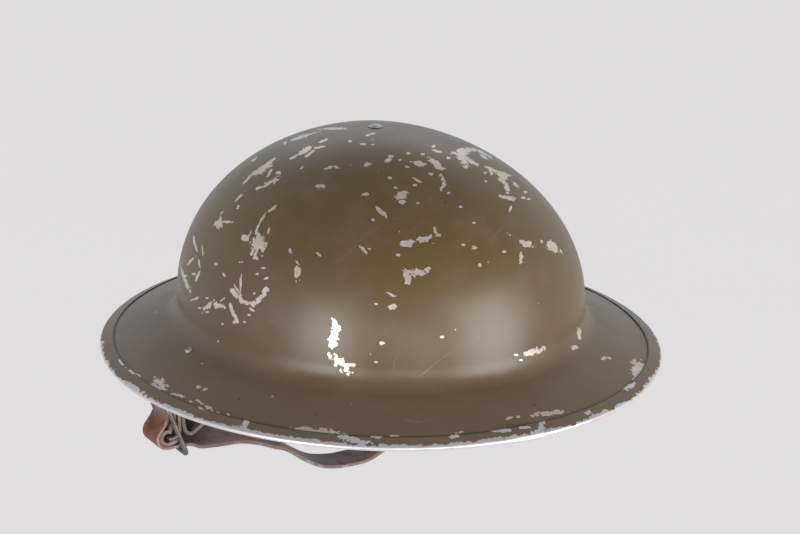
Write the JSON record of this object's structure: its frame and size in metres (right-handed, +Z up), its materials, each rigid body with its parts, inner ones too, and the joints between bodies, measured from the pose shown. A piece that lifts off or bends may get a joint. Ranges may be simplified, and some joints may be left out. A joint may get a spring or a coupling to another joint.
{
  "type": "steel helmet",
  "caption": "Shallow wide-brimmed steel parade helmet with a folded rim band, a sprung head lining and an adjustable leather chinstrap on two wire bails.",
  "frame": {"origin": "centre of the head opening, in the plane of the rim", "axes": "+Z up towards the crown, +Y towards the back of the wearer's head along the longer axis, +X to the wearer's left, where the slide buckle is"},
  "size_m": [0.292, 0.3074, 0.1827],
  "materials": {
    "shell": "satin olive-drab paint, chipped to bare steel",
    "rim_band": "satin olive-drab paint worn to bare steel along the edge",
    "crown_rivet": "paint worn to bare steel",
    "crown_washer": "dull steel",
    "crown_strap": "woven cotton tape",
    "crown_pad": "grey-brown wool felt",
    "lining": "black oilcloth",
    "draw_cord": "twisted cotton cord",
    "sweatband": "brown leather",
    "hoop": "dull spring steel",
    "buffers": "aged red-brown rubber",
    "liner_rivet": "dull steel",
    "lug": "satin olive-drab paint",
    "lug_rivet": "paint worn to bare steel",
    "bail": "dark dull wire, paint mostly gone",
    "slide_buckle": "dark dull steel with worn corners",
    "strap_leather": "worn brown leather with paler cut edges",
    "strap_rivet": "dark dull steel"
  },
  "bodies": {
    "helmet": {"shell": "shell", "rim_band": "rim_band", "crown_rivet": "crown_rivet", "crown_washer": "crown_washer", "cross_strap": "crown_strap", "long_strap": "crown_strap", "crown_pad": "crown_pad", "lining": "lining", "draw_cord": "draw_cord", "sweatband": "sweatband", "hoop": "hoop", "buffers": "buffers", "buffer_rivets": "liner_rivet", "hoop_rivets": "liner_rivet", "left_lug": "lug", "right_lug": "lug", "left_lug_rivet": "lug_rivet", "right_lug_rivet": "lug_rivet"},
    "left_bail": {"left_bail": "bail"},
    "right_bail": {"right_bail": "bail"},
    "strap_ends": {"short_strap": "strap_leather", "short_strap_rivet": "strap_rivet", "chin_strap_rivet": "strap_rivet"},
    "chinstrap": {"slide_buckle": "slide_buckle", "chin_strap": "strap_leather"}
  },
  "joints": [
    {"name": "left_bail_swing", "type": "hinge", "parent": "helmet", "child": "left_bail", "pos_m": [0.12296, 0, 0.00551], "axis": [0, 1, 0], "range_deg": [-15, 15]},
    {"name": "right_bail_swing", "type": "hinge", "parent": "helmet", "child": "right_bail", "pos_m": [-0.12296, 0, 0.00551], "axis": [0, 1, 0], "range_deg": [-15, 15]},
    {"name": "strap_level", "type": "hinge", "parent": "left_bail", "child": "strap_ends", "pos_m": [0.12296, 0, -0.00949], "axis": [0, 1, 0], "range_deg": [-15, 15]},
    {"name": "chinstrap_swing", "type": "hinge", "parent": "strap_ends", "child": "chinstrap", "pos_m": [0, 0, -0.00949], "axis": [1, 0, 0], "range_deg": [-40, 40], "deforming": ["chin_strap", "short_strap"]}
  ],
  "couplings": [
    {"joint": "right_bail_swing", "follows": "left_bail_swing", "ratio": 1},
    {"joint": "strap_level", "follows": "left_bail_swing", "ratio": -1}
  ]
}
